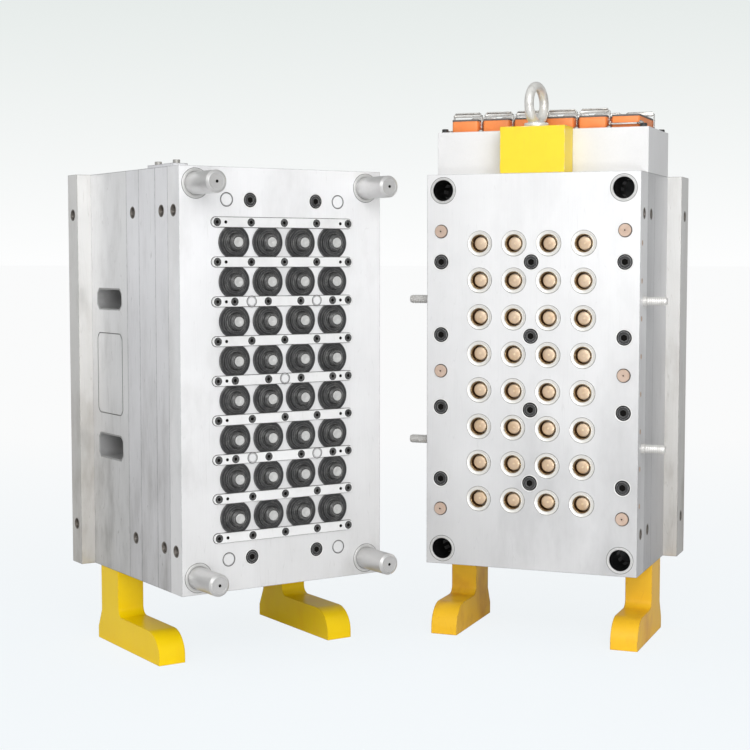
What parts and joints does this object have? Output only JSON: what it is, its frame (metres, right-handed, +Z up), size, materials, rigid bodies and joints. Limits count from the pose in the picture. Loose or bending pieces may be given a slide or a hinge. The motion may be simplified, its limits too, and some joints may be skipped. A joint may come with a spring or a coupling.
{
  "type": "bottle cap mould",
  "caption": "Multi-cavity injection mould for bottle caps: moving core half with stripper rings and guide pins, and fixed hot-runner cavity half, open and standing apart on feet.",
  "frame": {"origin": "middle of the whole part's footprint, on the floor under the feet", "axes": "+Z up; -Y is the side that the fixed half's parting face looks to; the moving half stands to -X, turned 55 degrees about Z"},
  "size_m": [0.9539, 0.7027, 0.9193],
  "materials": {
    "plate_steel": "ground tool steel, fine grain, light handling marks",
    "core_steel": "turned hardened steel, polished nose",
    "ring_steel": "dark coated steel",
    "pin_steel": "ground and polished",
    "brass": "turned brass, slightly dull",
    "nipple_steel": "nickel-plated hose tails",
    "foot_yellow": "yellow enamel, worn at the edges",
    "box_white": "white powder coat",
    "connector_orange": "orange enamel",
    "lever_steel": "plated steel strip",
    "contact_plastic": "grey moulded plastic",
    "eye_steel": "forged steel, dark",
    "hidden_steel": "plain ground steel"
  },
  "bodies": {
    "mould": {"cores": "core_steel", "guide_pins": "pin_steel", "core_plate": "plate_steel", "cooling_plate": "plate_steel", "support_plate": "plate_steel", "spacer_block_left": "plate_steel", "spacer_block_right": "plate_steel", "spacer_cover_left": "plate_steel", "spacer_cover_right": "plate_steel", "stop_rails": "hidden_steel", "core_clamp_plate": "plate_steel", "core_plate_strap": "plate_steel", "core_half_feet": "foot_yellow", "cavity_half_feet": "foot_yellow", "cavity_plate": "plate_steel", "landing_buttons": "brass", "nozzle_plate": "plate_steel", "manifold_plate": "plate_steel", "hot_manifold": "hidden_steel", "fixed_clamp_plate": "plate_steel", "locating_ring": "pin_steel", "sprue_bushing": "core_steel", "terminal_box": "box_white", "connector_housings": "connector_orange", "contact_inserts": "contact_plastic", "lifting_block": "foot_yellow", "eye_bolt": "eye_steel", "water_nipples_left": "nipple_steel", "water_nipples_right": "nipple_steel"},
    "ejection": {"stripper_plate": "plate_steel", "stripper_rings": "ring_steel", "retaining_strips": "plate_steel", "tie_rods": "pin_steel", "ejector_retainer_plate": "hidden_steel", "ejector_plate": "hidden_steel"},
    "lever_1_front": {"locking_lever_1_front": "lever_steel"},
    "lever_1_back": {"locking_lever_1_back": "lever_steel"},
    "lever_2_front": {"locking_lever_2_front": "lever_steel"},
    "lever_2_back": {"locking_lever_2_back": "lever_steel"},
    "lever_3_front": {"locking_lever_3_front": "lever_steel"},
    "lever_3_back": {"locking_lever_3_back": "lever_steel"},
    "lever_4_front": {"locking_lever_4_front": "lever_steel"},
    "lever_4_back": {"locking_lever_4_back": "lever_steel"},
    "lever_5_front": {"locking_lever_5_front": "lever_steel"},
    "lever_5_back": {"locking_lever_5_back": "lever_steel"},
    "lever_6_front": {"locking_lever_6_front": "lever_steel"},
    "lever_6_back": {"locking_lever_6_back": "lever_steel"}
  },
  "joints": [
    {"name": "ejection_stroke", "type": "slide", "parent": "mould", "child": "ejection", "axis": [0.8192, -0.5736, 0], "range_m": [0, 0.03]},
    {"name": "lever_1_front_swing", "type": "hinge", "parent": "mould", "child": "lever_1_front", "pos_m": [0.12475, 0.1593, 0.852], "axis": [1, 0, 0], "range_deg": [0, 90]},
    {"name": "lever_1_back_swing", "type": "hinge", "parent": "mould", "child": "lever_1_back", "pos_m": [0.12475, 0.2473, 0.852], "axis": [1, 0, 0], "range_deg": [-90, 0]},
    {"name": "lever_2_front_swing", "type": "hinge", "parent": "mould", "child": "lever_2_front", "pos_m": [0.17925, 0.1593, 0.852], "axis": [1, 0, 0], "range_deg": [0, 90]},
    {"name": "lever_2_back_swing", "type": "hinge", "parent": "mould", "child": "lever_2_back", "pos_m": [0.17925, 0.2473, 0.852], "axis": [1, 0, 0], "range_deg": [-90, 0]},
    {"name": "lever_3_front_swing", "type": "hinge", "parent": "mould", "child": "lever_3_front", "pos_m": [0.23375, 0.1593, 0.852], "axis": [1, 0, 0], "range_deg": [0, 90]},
    {"name": "lever_3_back_swing", "type": "hinge", "parent": "mould", "child": "lever_3_back", "pos_m": [0.23375, 0.2473, 0.852], "axis": [1, 0, 0], "range_deg": [-90, 0]},
    {"name": "lever_4_front_swing", "type": "hinge", "parent": "mould", "child": "lever_4_front", "pos_m": [0.28825, 0.1593, 0.852], "axis": [1, 0, 0], "range_deg": [0, 90]},
    {"name": "lever_4_back_swing", "type": "hinge", "parent": "mould", "child": "lever_4_back", "pos_m": [0.28825, 0.2473, 0.852], "axis": [1, 0, 0], "range_deg": [-90, 0]},
    {"name": "lever_5_front_swing", "type": "hinge", "parent": "mould", "child": "lever_5_front", "pos_m": [0.34275, 0.1593, 0.852], "axis": [1, 0, 0], "range_deg": [0, 90]},
    {"name": "lever_5_back_swing", "type": "hinge", "parent": "mould", "child": "lever_5_back", "pos_m": [0.34275, 0.2473, 0.852], "axis": [1, 0, 0], "range_deg": [-90, 0]},
    {"name": "lever_6_front_swing", "type": "hinge", "parent": "mould", "child": "lever_6_front", "pos_m": [0.39725, 0.1593, 0.852], "axis": [1, 0, 0], "range_deg": [-90, 0]},
    {"name": "lever_6_back_swing", "type": "hinge", "parent": "mould", "child": "lever_6_back", "pos_m": [0.39725, 0.2473, 0.852], "axis": [1, 0, 0], "range_deg": [-90, 0]}
  ]
}
